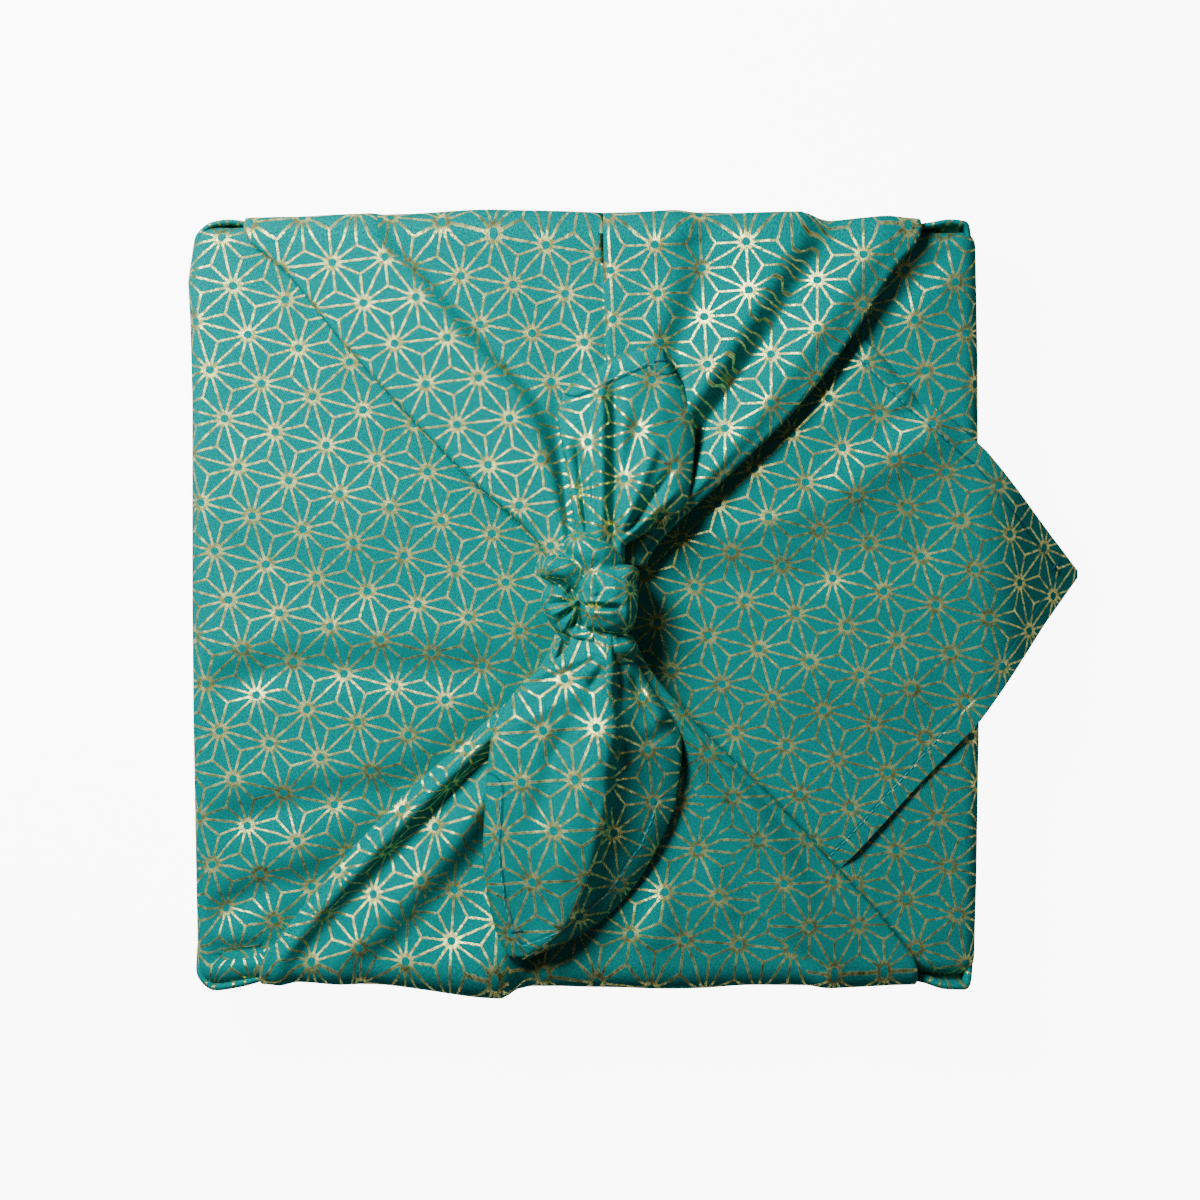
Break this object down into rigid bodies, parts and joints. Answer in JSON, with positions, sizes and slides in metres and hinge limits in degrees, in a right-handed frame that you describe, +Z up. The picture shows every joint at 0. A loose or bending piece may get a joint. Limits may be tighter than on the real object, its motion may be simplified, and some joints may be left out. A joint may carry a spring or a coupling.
{
  "type": "furoshiki wrap",
  "caption": "Square cotton cloth with a hemp-leaf print, folded round a flat square box and tied on top in a knot with leaf-like free ends. The box is left out, so the wrap is hollow.",
  "frame": {"origin": "centre of the flat underside, on the surface that the wrap rests on", "axes": "+Z up towards the knot; +X towards the side where the top flap's tip overhangs; +Y towards the shorter free end of the knot"},
  "size_m": [0.3134, 0.2767, 0.0665],
  "materials": {
    "cloth": "matte teal cotton twill with a thin metallic gold print"
  },
  "bodies": {
    "root": {"cloth": "cloth"}
  },
  "joints": []
}
